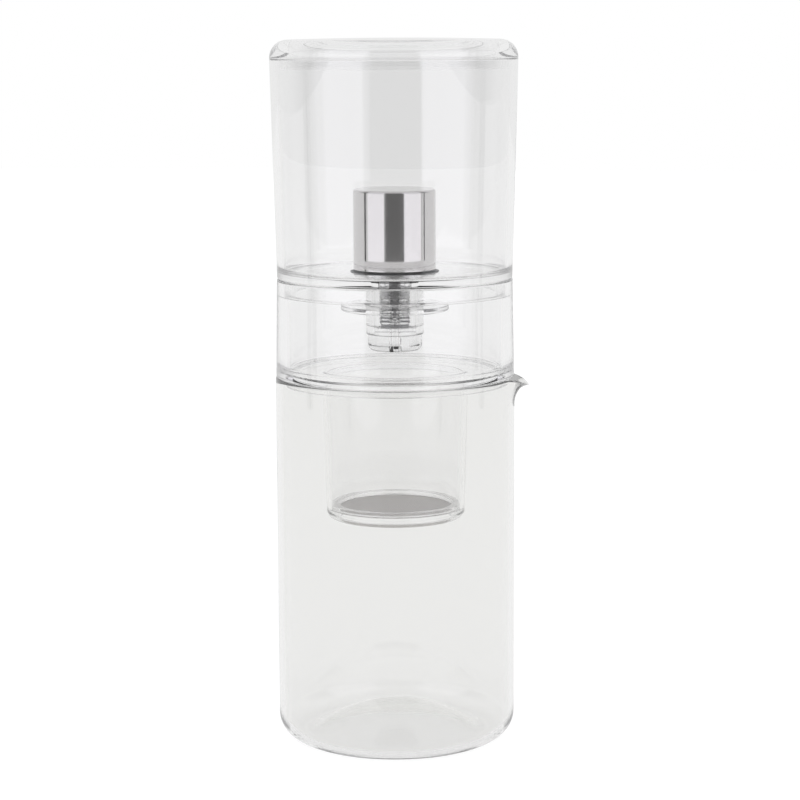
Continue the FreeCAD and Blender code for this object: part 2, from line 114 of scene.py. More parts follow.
def clear_material(name, tint, index, roughness, ripple_mm, ripple_depth_mm, haze,
                   longest_way=LONGEST_WAY):
    """A clear dielectric with a slow surface ripple and a trace of handling haze."""
    material, tree, output = new_material(name)
    place = add(tree, "ShaderNodeTexCoord")
    ripple = add(
        tree, "ShaderNodeTexNoise", {}, {"Scale": 1 / (ripple_mm * MM), "Detail": 1.0, "Roughness": 0.4},
        {"Vector": place.outputs["Object"]},
    )
    bump = add(
        tree, "ShaderNodeBump", {}, {"Strength": 1.0, "Distance": ripple_depth_mm * MM},
        {"Height": ripple.outputs["Fac"]},
    )
    smudges = add(
        tree, "ShaderNodeTexNoise", {}, {"Scale": 1 / (SMUDGE_MM * MM), "Detail": 4.0},
        {"Vector": place.outputs["Object"]},
    )
    rough = add(
        tree, "ShaderNodeMapRange", {},
        {"From Min": 0.45, "From Max": 0.8, "To Min": roughness, "To Max": roughness + haze},
        {"Value": smudges.outputs["Fac"]},
    )
    glass = add(
        tree, "ShaderNodeBsdfPrincipled", {},
        {"Base Color": linear(tint), "IOR": index, "Transmission Weight": 1.0},
        {"Roughness": rough.outputs["Result"], "Normal": bump.outputs["Normal"]},
    )
    path = add(tree, "ShaderNodeLightPath")
    leaving = add(tree, "ShaderNodeBsdfTransparent", {}, {"Color": linear(LEAVING_TINT)})
    caught = add(
        tree, "ShaderNodeMath", {"operation": "GREATER_THAN"}, {1: longest_way},
        {0: path.outputs["Ray Depth"]},
    )
    seen_piece = add(
        tree, "ShaderNodeMixShader", {}, {},
        {0: caught.outputs["Value"], 1: glass.outputs["BSDF"], 2: leaving.outputs["BSDF"]},
    )
    through = add(tree, "ShaderNodeBsdfTransparent", {}, {"Color": linear(SHADOW_TINT)})
    both = add(
        tree, "ShaderNodeMixShader", {}, {},
        {0: path.outputs["Is Shadow Ray"], 1: seen_piece.outputs["Shader"], 2: through.outputs["BSDF"]},
    )
    tree.links.new(both.outputs["Shader"], output.inputs["Surface"])
    print(f"{name}: index {index}, roughness from {roughness}")
    return material


# %% [markdown]
# Borosilicate has an index of 1.47. The real copolyester's is near 1.55, and it is drawn a little
# lower, at 1.49. The threads are the same plastic, but they are drawn finely rough, and a ray counts
# as caught in them much sooner.

# %% Blown glass, moulded plastic and its threads
borosilicate_glass = clear_material(
    "borosilicate_glass", "FAFAF9", index=1.47, roughness=0.0, ripple_mm=40, ripple_depth_mm=0.02,
    haze=0.015,
)
copolyester_clear = clear_material(
    "copolyester_clear", "FCFCFC", index=1.49, roughness=0.0, ripple_mm=60, ripple_depth_mm=0.015,
    haze=0.02,
)
copolyester_threads = clear_material(
    "copolyester_threads", "FCFCFC", index=1.49, roughness=0.08, ripple_mm=60, ripple_depth_mm=0.015,
    haze=0.05, longest_way=7,
)

# %% [markdown]
# ## Steel: the polished knob, the turned spindle and the mesh
#
# Stainless steel is a warm light grey metal. Polished, it is nearly a mirror, with only a trace of
# fine polishing lines round the turned side. The spindle is left as it came off the lathe, so its
# turning marks spread what it mirrors into a soft sheen.

# %% Polished and turned stainless steel
SIDEWAYS = 0.02  # marks run round the piece, so their pattern is drawn out fifty times sideways
ROUGHER_MARKS = 1.6  # how much rougher the roughest marks are than the smoothest


def steel_material(name, colour, roughness, marks_mm, marks_depth_mm):
    """Stainless steel with turning or polishing marks that run round the Z axis."""
    material, tree, output = new_material(name)
    place = add(tree, "ShaderNodeTexCoord")
    stretch = add(
        tree, "ShaderNodeMapping", {}, {"Scale": (SIDEWAYS, SIDEWAYS, 1.0)},
        {"Vector": place.outputs["Object"]},
    )
    marks = add(
        tree, "ShaderNodeTexNoise", {}, {"Scale": 1 / (marks_mm * MM), "Detail": 3.0},
        {"Vector": stretch.outputs["Vector"]},
    )
    bump = add(
        tree, "ShaderNodeBump", {}, {"Strength": 0.35, "Distance": marks_depth_mm * MM},
        {"Height": marks.outputs["Fac"]},
    )
    rough = add(
        tree, "ShaderNodeMapRange", {}, {"To Min": roughness, "To Max": roughness * ROUGHER_MARKS},
        {"Value": marks.outputs["Fac"]},
    )
    steel = add(
        tree, "ShaderNodeBsdfPrincipled", {}, {"Base Color": linear(colour), "Metallic": 1.0},
        {"Roughness": rough.outputs["Result"], "Normal": bump.outputs["Normal"]},
    )
    tree.links.new(steel.outputs["BSDF"], output.inputs["Surface"])
    print(f"{name}: marks every {marks_mm} mm")
    return material


polished_stainless = steel_material(
    "polished_stainless", "CDCBCB", roughness=0.045, marks_mm=0.5, marks_depth_mm=0.002
)
turned_stainless = steel_material(
    "turned_stainless", "E6E4E2", roughness=0.42, marks_mm=0.25, marks_depth_mm=0.01
)

# %% [markdown]
# The filter is a disc of plain-woven steel wire. Its wires shine, but light falls in between them,
# so from a step away it reads as an even mid grey. Two crossed wave patterns make the weave, and
# the darker colour where the wires leave a gap is painted shade.

# %% Woven wire mesh
WIRE_PITCH_MM = 0.75  # the real weave is near 0.3 mm; it is drawn coarser so that it shows
WIRE_DEPTH_MM = 0.1
WAVE_PERIOD = 2 * math.pi / 20  # metres between the bands of a wave texture whose scale is 1


def woven_mesh_material(name, wire, gap):
    """Plain-woven steel wire: two crossed wave patterns, with painted shade where the wires leave a gap.
    """
    material, tree, output = new_material(name)
    place = add(tree, "ShaderNodeTexCoord")
    waves = [
        add(
            tree, "ShaderNodeTexWave", {"bands_direction": direction},
            {"Scale": WAVE_PERIOD / (WIRE_PITCH_MM * MM)}, {"Vector": place.outputs["Object"]},
        )
        for direction in ("X", "Y")
    ]
    weave = add(
        tree, "ShaderNodeMath", {"operation": "MAXIMUM"}, {},
        {0: waves[0].outputs["Fac"], 1: waves[1].outputs["Fac"]},
    )
    colour = add(tree, "ShaderNodeValToRGB", {}, {}, {"Fac": weave.outputs["Value"]})
    # painted shade: this darker colour stands for light that falls through between the wires
    colour.color_ramp.elements[0].color = linear(gap)
    colour.color_ramp.elements[1].color = linear(wire)
    bump = add(
        tree, "ShaderNodeBump", {}, {"Strength": 0.6, "Distance": WIRE_DEPTH_MM * MM},
        {"Height": weave.outputs["Value"]},
    )
    steel = add(
        tree, "ShaderNodeBsdfPrincipled", {}, {"Metallic": 0.6, "Roughness": 0.45},
        {"Base Color": colour.outputs["Color"], "Normal": bump.outputs["Normal"]},
    )
    tree.links.new(steel.outputs["BSDF"], output.inputs["Surface"])
    print(f"{name}: drawn at {WIRE_PITCH_MM} mm pitch")
    return material


woven_stainless = woven_mesh_material("woven_stainless", wire="E2DEDA", gap="8A8784")

# %% [markdown]
# ## Seals and the knob's insert
#
# The seals are silicone: dark under the knob and round the spindle, clear above the nut and at the
# nozzle. Silicone is soft and moulded, so it has a satin face with a fine grain and no sparkle. The
# insert inside the knob is moulded nylon, a little duller.

# %% Moulded silicone and nylon
GRAIN_DEPTH_MM = 0.02
SILICONE_INDEX = 1.42  # the nylon, which is out of sight, is drawn with it too


def moulded_material(name, colour, dusty, roughness, grain_mm, clear=0.0):
    """A moulded soft or matt plastic with a fine grain and slight dust in its colour."""
    material, tree, output = new_material(name)
    place = add(tree, "ShaderNodeTexCoord")
    grain = add(
        tree, "ShaderNodeTexNoise", {}, {"Scale": 1 / (grain_mm * MM), "Detail": 5.0},
        {"Vector": place.outputs["Object"]},
    )
    shade = add(
        tree, "ShaderNodeMix", {"data_type": "RGBA"}, {6: linear(colour), 7: linear(dusty)},
        {0: grain.outputs["Fac"]},
    )
    bump = add(
        tree, "ShaderNodeBump", {}, {"Strength": 0.3, "Distance": GRAIN_DEPTH_MM * MM},
        {"Height": grain.outputs["Fac"]},
    )
    shader = add(
        tree, "ShaderNodeBsdfPrincipled", {},
        {"Roughness": roughness, "IOR": SILICONE_INDEX, "Transmission Weight": clear},
        {"Base Color": shade.outputs[2], "Normal": bump.outputs["Normal"]},
    )
    tree.links.new(shader.outputs["BSDF"], output.inputs["Surface"])
    print(f"{name}: grain {grain_mm} mm")
    return material


dark_silicone = moulded_material("dark_silicone", "101012", "222224", roughness=0.42, grain_mm=0.6)
clear_silicone = moulded_material(
    "clear_silicone", "E4E4E4", "F0F0F0", roughness=0.35, grain_mm=0.8, clear=0.7
)
black_nylon = moulded_material("black_nylon", "151516", "262628", roughness=0.5, grain_mm=0.4)

# %% [markdown]
# ## Turning a clear piece from its half section
#
# A moulded or blown round piece is a half section turned about the Z axis. Every corner of the
# section carries a small radius, as a mould or a flame leaves it, and those radii catch the light.
# Each point of a radius knows its true normal, so the long faces between stay perfectly even,
# which matters in glass: a normal that leans by one degree bends what is seen through the wall.

# %% Round the corners of a half section
SMALL_CORNER_STEPS = 5
WIDE_CORNER_STEPS = 15
WIDE_CORNER = 1.5  # millimetres
SHARE_OF_A_RUN = 0.98  # the most of a straight run that the corner at its end may take


def rounded_section(corners, default_round):
    """Points (radius, height, normal) in metres along a closed section of corners in millimetres.

    A corner is (radius, height) or (radius, height, rounding). The section runs anticlockwise,
    seen with the axis on the left, so that its outside is on the right of the way along it.
    """
    section = []
    for n, corner in enumerate(corners):
        here = Vector(corner[:2])
        before = Vector(corners[n - 1][:2])
        after = Vector(corners[(n + 1) % len(corners)][:2])
        incoming = (here - before).normalized()
        outgoing = (after - here).normalized()
        if here.x == 0:
            up = 1.0 if incoming.x < -0.5 else -1.0
            section.append((0.0, here.y * MM, Vector((0.0, up))))
            continue
        radius = corner[2] if len(corner) > 2 else default_round
        turn = -incoming.angle_signed(outgoing, 0.0)
        reach = abs(math.tan(turn / 2)) * radius
        room = SHARE_OF_A_RUN * min((here - before).length, (after - here).length)
        if reach > room:
            radius *= room / reach
            reach = room
        side = 1.0 if turn > 0 else -1.0
        entry = here - incoming * reach
        centre = entry + Vector((-incoming.y, incoming.x)) * (radius * side)
        steps = SMALL_CORNER_STEPS if radius < WIDE_CORNER else WIDE_CORNER_STEPS
        for k in range(steps + 1):
            way = incoming.copy()
            way.rotate(Matrix.Rotation(turn * k / steps, 2))
            normal = Vector((way.y, -way.x))
            point = centre + normal * (radius * side)
            section.append((point.x * MM, point.y * MM, normal))
    return section


square_section = rounded_section([(1, 0), (2, 0), (2, 1), (1, 1)], 0.1)
print("a square section with rounded corners has", len(square_section), "points")

# %% [markdown]
# A wall that is pulled out of shape later, as the carafe's is at its spout, needs points along its
# straight runs too. They are added at an even step.

# %% Add points along the straight runs
def lengthwise(section, step_mm):
    """Add points along the straight runs, so that none is longer than the step."""
    fine = []
    for n, (radius, height, normal) in enumerate(section):
        fine.append((radius, height, normal))
        next_radius, next_height, next_normal = section[(n + 1) % len(section)]
        run = math.hypot(next_radius - radius, next_height - height)
        if radius == 0 and next_radius == 0:
            continue
        pieces = int(run / (step_mm * MM))
        for k in range(1, pieces + 1):
            share = k / (pieces + 1)
            between = normal.lerp(next_normal, share).normalized()
            fine.append(
                (radius + (next_radius - radius) * share, height + (next_height - height) * share, between)
            )
    return fine


print("in steps of 0.3 mm that section has", len(lengthwise(square_section, 0.3)), "points")

# %% [markdown]
# Turning the section makes one ring of points for each of its points, and faces between each ring
# and the next. A point on the axis makes a ring of one point, and the faces there are triangles.

# %% Turn a section into rings and faces
def ring_points(section, segments, shape):
    """The vertices and normals of the turned section, and the vertex numbers of each ring."""
    vertices, normals, rings = [], [], []
    for radius, height, normal in section:
        ring = []
        for k in range(1 if radius == 0 else segments):
            angle = 2 * math.pi * k / segments
            point = Vector((radius * math.cos(angle), radius * math.sin(angle), height))
            ring.append(len(vertices))
            vertices.append(shape(point) if shape else point)
            normals.append((normal.x * math.cos(angle), normal.x * math.sin(angle), normal.y))
        rings.append(ring)
    return vertices, normals, rings


def ring_faces(rings, segments):
    """The faces between each ring and the next, and between the last ring and the first."""
    faces = []
    for n, ring in enumerate(rings):
        following = rings[(n + 1) % len(rings)]
        if len(ring) == 1 and len(following) == 1:
            continue
        for k in range(segments):
            corners = [
                ring[k % len(ring)],
                ring[(k + 1) % len(ring)],
                following[(k + 1) % len(following)],
                following[k % len(following)],
            ]
            faces.append(list(dict.fromkeys(corners)))
    return faces


square_rings = ring_points(square_section, 8, None)[2]
print("turned in 8 steps that section has", len(ring_faces(square_rings, 8)), "faces")

# %% A turned piece
def turned(name, corners, material, body, nodes, segments=192, default_round=0.25, shape=None,
           step_mm=None):
    """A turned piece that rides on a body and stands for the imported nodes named."""
    section = rounded_section(corners, default_round)
    if step_mm:
        section = lengthwise(section, step_mm)
    vertices, normals, rings = ring_points(section, segments, shape)
    mesh = bpy.data.meshes.new(name)
    mesh.from_pydata(vertices, [], ring_faces(rings, segments))
    mesh.validate()
    mesh.shade_smooth()
    if shape is None:  # a wall pulled out of shape has lost the section's normals
        mesh.normals_split_custom_set_from_vertices(normals)
    piece = bpy.data.objects.new(name, mesh)
    bpy.context.scene.collection.objects.link(piece)
    mesh.materials.append(material)
    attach(piece, body)
    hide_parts(*nodes)
    lowest = min(point[1] for point in section) / MM
    highest = max(point[1] for point in section) / MM
    print(f"{name}: {len(vertices)} points, from {lowest:.1f} mm to {highest:.1f} mm high")


# %% [markdown]
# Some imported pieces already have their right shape. They are small or hidden, and only need their
# real finish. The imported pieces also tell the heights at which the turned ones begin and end.

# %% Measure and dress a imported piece
def heights(node):
    """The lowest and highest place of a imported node, in millimetres."""
    low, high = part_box(node)
    return low[2] / MM, high[2] / MM


def dress(node, material):
    """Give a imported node, whose shape is already right, its real finish."""
    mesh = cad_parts[node].data
    if not mesh.materials:
        mesh.materials.append(material)
    for n in range(len(mesh.materials)):
        mesh.materials[n] = material
    print(f"{node}: {material.name}")


print("the lid's top is at", round(heights("lid")[1], 1), "mm")

# %% [markdown]
# ## The glass carafe
#
# The carafe is a blown cylinder. Its foot is rounded, and its base is pushed up in the middle, so
# that it stands on a ring. Its rim is fire-polished. The spout is drawn out of the hot rim with a
# rod, which thins the wall there and lets the lip droop a little. It is made the same way here:
# the turned wall is pulled outwards and down, most at the rim and in the spout's middle.

# %% Draw the spout out of the wall
CARAFE_RADIUS = 49.5
CARAFE_WALL = 2.2
CARAFE_BASE, CARAFE_RIM = heights("carafe")
SPOUT_REACH = 6.6
SPOUT_DROOP = 3.4
SPOUT_THINNING = 1.4
SPOUT_DEPTH = 13.0
SPOUT_HALF_ANGLE = math.radians(16)
SPOUT_SPREAD = 0.55 * SPOUT_HALF_ANGLE  # where the pull has fallen to about a third
SPOUT_END = 1.7 * SPOUT_HALF_ANGLE  # where it has died away
SPOUT_CURVE = 2.4


def draw_spout(point):
    """Pull a point of the carafe's wall out into the spout, thinning the wall as it is drawn."""
    radius = math.hypot(point.x, point.y)
    if radius < (CARAFE_RADIUS - 2 * CARAFE_WALL) * MM:
        return point
    angle = math.atan2(point.y, point.x)
    below_rim = (CARAFE_RIM * MM - point.z) / (SPOUT_DEPTH * MM)
    if abs(angle) > SPOUT_END or below_rim > 1:
        return point
    across = math.exp(-((angle / SPOUT_SPREAD) ** 2))
    pull = (1 - max(below_rim, 0)) ** SPOUT_CURVE * across
    depth_in_wall = min(max((CARAFE_RADIUS * MM - radius) / (CARAFE_WALL * MM), 0.0), 1.0)
    new_radius = radius + (SPOUT_REACH + SPOUT_THINNING * depth_in_wall) * MM * pull
    droop = SPOUT_DROOP * MM * pull ** 2
    return Vector((new_radius * math.cos(angle), new_radius * math.sin(angle), point.z - droop))


lip = draw_spout(Vector((CARAFE_RADIUS * MM, 0, CARAFE_RIM * MM)))
print(f"the lip is {lip.x / MM:.1f} mm out and {CARAFE_RIM - lip.z / MM:.1f} mm below the rim")

# %% The carafe
PUNT_TOP_RADIUS = 14.0
PUNT_RISE = 11.0
PUNT_ROUND = 60  # the pushed-up middle is one soft dome
BASE_THICKNESS = 2.6
BASE_ROUND = 10.5
BASE_INNER_ROUND = 8.3
FOOT_RING_WIDTH = 4.0
FOOT_RING_ROUND = 14
INNER_FOOT_RING = 11.7
RIM_ROUND = 0.45 * CARAFE_WALL  # fire-polished, so nearly a half circle
carafe_inside = CARAFE_RADIUS - CARAFE_WALL
inner_base = CARAFE_BASE + BASE_THICKNESS

turned(
    "glass_carafe",
    [
        (0, CARAFE_BASE + PUNT_RISE),
        (PUNT_TOP_RADIUS, CARAFE_BASE + PUNT_RISE, PUNT_ROUND),
        (CARAFE_RADIUS - BASE_ROUND - FOOT_RING_WIDTH, CARAFE_BASE, FOOT_RING_ROUND),
        (CARAFE_RADIUS, CARAFE_BASE, BASE_ROUND),
        (CARAFE_RADIUS, CARAFE_RIM, RIM_ROUND),
        (carafe_inside, CARAFE_RIM, RIM_ROUND),
        (carafe_inside, inner_base, BASE_INNER_ROUND),
        (carafe_inside - INNER_FOOT_RING, inner_base, FOOT_RING_ROUND),
        (PUNT_TOP_RADIUS, inner_base + PUNT_RISE, PUNT_ROUND),
        (0, inner_base + PUNT_RISE),
    ],
    borosilicate_glass, "carafe", ["carafe"], segments=400, shape=draw_spout, step_mm=1.5,
)

# %% [markdown]
# ## The filter unit
#
# One clear moulding makes the drip chamber and, hanging below its sloped floor, the cup for the
# coffee. A plug ring centres it in the carafe, and a rebate at its top takes the tank's ring. At
# the foot of the cup a steel mesh lies on a ledge, held by a clear ring.
#
# Pieces that only rest in each other have a film of air between them. It is drawn here, because
# two faces of glass that touch would look like one solid block.

# %% The filter moulding
AIR_FILM = 0.05
CUP_BOTTOM, CHAMBER_TOP = heights("filter_holder")
MESH_SEAT, MESH_TOP = heights("filter_mesh")
CHAMBER_RADIUS = 49.3
CHAMBER_TOP_RADIUS = 48.6
CHAMBER_BORE = 44.2
CHAMBER_FLOOR = 155.1
REBATE_RADIUS = 45.9
REBATE_FLOOR = 186.8
PLUG_OUTER_RADIUS = 46.4
PLUG_INNER_RADIUS = 44.0
PLUG_DEPTH = 2.9
FLOOR_UNDERSIDE = 152.4
FLOOR_FALL = 1.7  # the chamber's floor slopes down to the cup by this much
UNDERSIDE_FALL = 1.4
CUP_MOUTH_RADIUS = 30.2
CUP_FOOT_RADIUS = 28.7
CUP_WALL = 1.8
CUP_OUTLET_RADIUS = 23.6
flange_underside = CARAFE_RIM + AIR_FILM

turned(
    "filter_moulding",
    [
        (CUP_MOUTH_RADIUS - CUP_WALL, CHAMBER_FLOOR - FLOOR_FALL, 1.2),
        (CUP_FOOT_RADIUS - CUP_WALL, MESH_SEAT),
        (CUP_OUTLET_RADIUS, MESH_SEAT),
        (CUP_OUTLET_RADIUS, CUP_BOTTOM, 0.5),
        (CUP_FOOT_RADIUS, CUP_BOTTOM, 3.0),
        (CUP_MOUTH_RADIUS, FLOOR_UNDERSIDE - UNDERSIDE_FALL, 0.6),
        (PLUG_INNER_RADIUS, FLOOR_UNDERSIDE),
        (PLUG_INNER_RADIUS, CARAFE_RIM - PLUG_DEPTH),
        (PLUG_OUTER_RADIUS, CARAFE_RIM - PLUG_DEPTH),
        (PLUG_OUTER_RADIUS, flange_underside),
        (CHAMBER_RADIUS, flange_underside, 0.8),
        (CHAMBER_TOP_RADIUS, CHAMBER_TOP, 0.8),
        (REBATE_RADIUS, CHAMBER_TOP),
        (REBATE_RADIUS, REBATE_FLOOR),
        (CHAMBER_BORE, REBATE_FLOOR),
        (CHAMBER_BORE, CHAMBER_FLOOR, 4.5),
    ],
    copolyester_clear, "filter_unit", ["filter_holder"],
)

# %% The mesh's clear ring and the woven disc
RING_TOP = heights("mesh_ring")[1]
RING_BORE = 23.4
RING_RADIUS = 26.7
ring_bottom = MESH_TOP + AIR_FILM

turned(
    "mesh_holding_ring",
    [
        (RING_BORE, ring_bottom),
        (RING_RADIUS, ring_bottom),
        (RING_RADIUS, RING_TOP),
        (RING_BORE, RING_TOP, 0.8),
    ],
    copolyester_clear, "filter_unit", ["mesh_ring"], default_round=0.2,
)
dress("filter_mesh", woven_stainless)

# %% [markdown]
# ## The water tank
#
# The tank is moulded with a little over one degree of draft, so that it leaves its core: it is
# 101 mm across at the mouth and 97 mm at the foot. Its thick floor has a round inner corner, and
# below the floor a ring drops into the chamber's rebate.

# %% The tank moulding
TANK_RADIUS = 50.7
TANK_FOOT_RADIUS = 48.5
TANK_WALL = 2.7
TANK_FLOOR = 196.2
TANK_RING_BOTTOM, TANK_TOP = heights("water_tank")
TANK_RING_INNER_RADIUS = 42.0
TANK_RING_OUTER_RADIUS = 45.5
VALVE_HOLE_RADIUS = 6.6
tank_underside = CHAMBER_TOP + AIR_FILM

turned(
    "water_tank_moulding",
    [
        (VALVE_HOLE_RADIUS, tank_underside),
        (TANK_RING_INNER_RADIUS, tank_underside, 0.5),
        (TANK_RING_INNER_RADIUS, TANK_RING_BOTTOM, 0.6),
        (TANK_RING_OUTER_RADIUS, TANK_RING_BOTTOM, 0.6),
        (TANK_RING_OUTER_RADIUS, tank_underside, 0.3),
        (TANK_FOOT_RADIUS, tank_underside, 0.8),
        (TANK_RADIUS, TANK_TOP, 0.3),
        (TANK_RADIUS - TANK_WALL, TANK_TOP, 0.4),
        (TANK_FOOT_RADIUS - TANK_WALL, TANK_FLOOR, 3.0),
        (VALVE_HOLE_RADIUS, TANK_FLOOR),
    ],
    copolyester_clear, "tank", ["water_tank"],
)

# %% [markdown]
# ## The lid
#
# The lid is a low dome with a full round shoulder. Its skirt drops inside the tank's mouth, and
# its rim lands on the tank's, which gives the fine double line round the joint. The dome rises by
# less than a millimetre, and its inside is flat.

# %% The lid moulding
LID_SKIRT_BOTTOM, LID_TOP = heights("lid")
LID_CROWN = 0.8
LID_CROWN_ROUND = 1500
LID_CROWN_RADIUS = 21
LID_SHOULDER = 7.4
LID_THICKNESS = 3.2
LID_SKIRT_INNER_RADIUS = 44.0
LID_SKIRT_OUTER_RADIUS = 46.7
lid_edge = LID_TOP - LID_CROWN
lid_rim = TANK_TOP + AIR_FILM

turned(
    "lid_moulding",
    [
        (0, lid_edge - LID_THICKNESS),
        (LID_SKIRT_INNER_RADIUS, lid_edge - LID_THICKNESS, 3.0),
        (LID_SKIRT_INNER_RADIUS, LID_SKIRT_BOTTOM, 0.4),
        (LID_SKIRT_OUTER_RADIUS, LID_SKIRT_BOTTOM, 0.4),
        (LID_SKIRT_OUTER_RADIUS, lid_rim, 0.3),
        (TANK_RADIUS, lid_rim, 0.15),
        (TANK_RADIUS, lid_edge, LID_SHOULDER),
        (LID_CROWN_RADIUS, LID_TOP, LID_CROWN_ROUND),
        (0, LID_TOP),
    ],
    copolyester_clear, "lid", ["lid"],
)

# %% [markdown]
# ## The drip valve
#
# Below the tank's floor hangs the valve: a threaded stem inside a clear sleeve nut with a round
# grip flange, and a notched nozzle at its end. All three are clear, so the threads inside show as
# a stack of fine lines. Only the nut and the dark seal under the knob are turned anew, and the rest
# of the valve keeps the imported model's shapes.

# %% The sleeve nut
NUT_BOTTOM, NUT_TOP = heights("valve_nut")
SPIGOT_TOP = heights("drip_nozzle")[1]
SPIGOT_GAP = 0.6
NUT_BORE = 6.45
NUT_POCKET_RADIUS = 9.05  # the nozzle's spigot goes in here from below
SLEEVE_RADIUS = 11.9
FLANGE_RADIUS = 22.3
FLANGE_BOTTOM = 180.0
FLANGE_TOP = 182.2
pocket_top = SPIGOT_TOP + SPIGOT_GAP

turned(
    "sleeve_nut",
    [
        (NUT_BORE, pocket_top),
        (NUT_POCKET_RADIUS, pocket_top),
        (NUT_POCKET_RADIUS, NUT_BOTTOM),
        (SLEEVE_RADIUS, NUT_BOTTOM, 0.3),
        (SLEEVE_RADIUS, FLANGE_BOTTOM, 0.6),
        (FLANGE_RADIUS, FLANGE_BOTTOM, 0.4),
        (FLANGE_RADIUS, FLANGE_TOP, 0.4),
        (SLEEVE_RADIUS, FLANGE_TOP, 0.6),
        (SLEEVE_RADIUS, NUT_TOP, 0.6),
        (NUT_BORE, NUT_TOP),
    ],
    copolyester_clear, "tank", ["valve_nut"], segments=128,
)

# %% The rest of the valve
dress("valve_body", copolyester_threads)
dress("drip_nozzle", copolyester_clear)
for seal in ("nut_washer", "nozzle_seal"):
    dress(seal, clear_silicone)
dress("spindle_ring", dark_silicone)
dress("needle_spindle", turned_stainless)

# %% The dark seal under the knob
SEAL_BORE = 6.7
SEAL_RADIUS = 18.3
SEAL_SQUEEZE = 0.3  # it is drawn this much flatter, as if the knob pressed on it
seal_top = heights("valve_gasket")[1] - SEAL_SQUEEZE

turned(
    "knob_seal",
    [(SEAL_BORE, TANK_FLOOR), (SEAL_RADIUS, TANK_FLOOR), (SEAL_RADIUS, seal_top), (SEAL_BORE, seal_top)],
    dark_silicone, "tank", ["valve_gasket"], segments=128, default_round=0.1,
)

# %% [markdown]
# ## The steel knob
#
# The knob is a drawn steel cap, 34 mm across, with a small radius round its top. Its polish makes
# it a mirror, so most of what is seen on it is the studio: the bright panels left and right of the
# camera, and between them a dark stretch of floor.

# %% The knob's cap
KNOB_RADIUS = 17.0
KNOB_WALL = 1.1
KNOB_BASE, KNOB_TOP = heights("valve_knob")
cap_inside = KNOB_RADIUS - KNOB_WALL

turned(
    "steel_knob",
    [
        (0, KNOB_TOP - KNOB_WALL),
        (cap_inside, KNOB_TOP - KNOB_WALL, 0.2),
        (cap_inside, KNOB_BASE, 0.3),
        (KNOB_RADIUS, KNOB_BASE, 0.3),
        (KNOB_RADIUS, KNOB_TOP, 1.0),
        (0, KNOB_TOP),
    ],
    polished_stainless, "knob", ["valve_knob"],
)
dress("knob_insert", black_nylon)

# %% [markdown]
# ## Camera
#
# The camera was fitted to the rings that the photograph shows. It stands a metre away, just above
# the height of the lid, and looks down by under nine degrees, with a lens of about 111 mm. The
# spout is turned a little towards it.

# %% Camera
CAMERA_DISTANCE = 1.0153
CAMERA_HEIGHT = 0.2971
CAMERA_PITCH = math.radians(-8.67)
CAMERA_AZIMUTH = math.radians(8)
CAMERA_YAW = math.radians(-0.11)
CAMERA_ROLL = math.radians(-0.25)
LENS = 111.2
SENSOR_WIDTH = 36.0

camera_data = bpy.data.cameras.new("camera")
camera_data.lens = LENS
camera_data.sensor_width = SENSOR_WIDTH
camera = bpy.data.objects.new("camera", camera_data)
bpy.context.scene.collection.objects.link(camera)
camera.location = (
    CAMERA_DISTANCE * math.sin(CAMERA_AZIMUTH),
    -CAMERA_DISTANCE * math.cos(CAMERA_AZIMUTH),
    CAMERA_HEIGHT,
)
camera.rotation_euler = (
    Matrix.Rotation(CAMERA_AZIMUTH + CAMERA_YAW, 3, "Z")
    @ Matrix.Rotation(math.radians(90) + CAMERA_PITCH, 3, "X")
    @ Matrix.Rotation(CAMERA_ROLL, 3, "Z")
).to_euler()
bpy.context.scene.camera = camera
print("camera at", [round(v, 3) for v in camera.location])

# %% [markdown]
# ## The studio
#
# Clear pieces are lit by what stands round them. A white backdrop behind shows through them, two
# tall soft panels beside the camera lay broad light bands on their curved walls, and the darker
# stretch between the panels leaves the grey between those bands. Two narrow flags draw thin dark
# lines in the polished knob.

# %% The soft panels
PANEL_DISTANCE = 0.95
PANEL_MIDDLE = 0.40
PANEL_TALL = 1.3
PANEL_RADIANCE = 0.66
AIM_POINT = Vector((0, 0, 0.17))


def stand_round(thing, azimuth, distance, height):
    """Stand a thing round the maker; azimuth is in degrees from the camera's side, to its right."""
    turn = CAMERA_AZIMUTH + math.radians(azimuth)
    thing.location = (distance * math.sin(turn), -distance * math.cos(turn), height)
    return turn


def soft_panel(name, azimuth, width):
    """A tall rectangular panel that faces the maker."""
    light = bpy.data.lights.new(name, "AREA")
    light.shape = "RECTANGLE"
    light.size = width
    light.size_y = PANEL_TALL
    light.energy = PANEL_RADIANCE * math.pi * width * PANEL_TALL
    light.color = linear("F8F6FF")[:3]
    panel = bpy.data.objects.new(name, light)
    bpy.context.scene.collection.objects.link(panel)
    stand_round(panel, azimuth, PANEL_DISTANCE, PANEL_MIDDLE)
    panel.rotation_euler = (AIM_POINT - panel.location).to_track_quat("-Z", "Y").to_euler()
    print(f"{name}: {light.energy:.1f} W")


soft_panel("left_panel", azimuth=-54, width=0.95)
soft_panel("right_panel", azimuth=52, width=0.98)

# %% The dark flags beside the panels
FLAG_DISTANCE = 0.95
FLAG_TALL = 0.9
FLAG_ABOVE_FLOOR = 0.001

black_cloth, tree, output = new_material("black_cloth")
cloth = add(tree, "ShaderNodeBsdfDiffuse", {}, {"Color": linear("202021")})
tree.links.new(cloth.outputs["BSDF"], output.inputs["Surface"])


